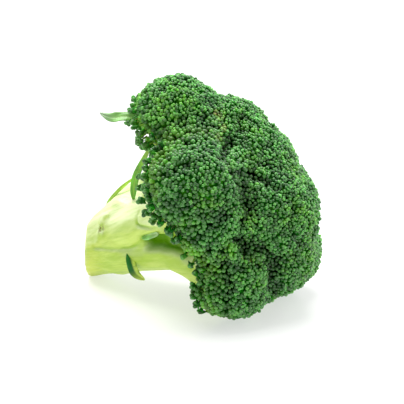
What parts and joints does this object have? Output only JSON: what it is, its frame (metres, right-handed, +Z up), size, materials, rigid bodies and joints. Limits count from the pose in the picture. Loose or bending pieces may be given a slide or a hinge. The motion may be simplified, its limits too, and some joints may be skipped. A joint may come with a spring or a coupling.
{
  "type": "broccoli head",
  "caption": "Broccoli head lying on its side: a pale cut stem that branches under a dense dome of dark green florets, with a few small leaves.",
  "frame": {"origin": "on the table, under the middle of the head's bounding box", "axes": "+Z up from the table; +X from the cut end of the stem towards the crown; -Y is the side that the picture shows"},
  "size_m": [0.1526, 0.12, 0.127],
  "materials": {
    "stalk": "satin",
    "floret": "matte",
    "leaf": "satin"
  },
  "bodies": {
    "root": {"stalk": "stalk", "floret_top_near": "floret", "floret_top_far": "floret", "floret_upper_middle": "floret", "floret_side_near": "floret", "floret_side_far": "floret", "floret_centre": "floret", "floret_front": "floret", "floret_lower_side_near": "floret", "floret_lower_side_far": "floret", "floret_bottom_middle": "floret", "floret_bottom_near": "floret", "floret_bottom_far": "floret", "leaf_top": "leaf", "leaf_inner": "leaf", "leaf_ridge": "leaf", "leaf_lower": "leaf", "leaf_bract": "leaf", "leaf_under_top": "leaf"}
  },
  "joints": []
}
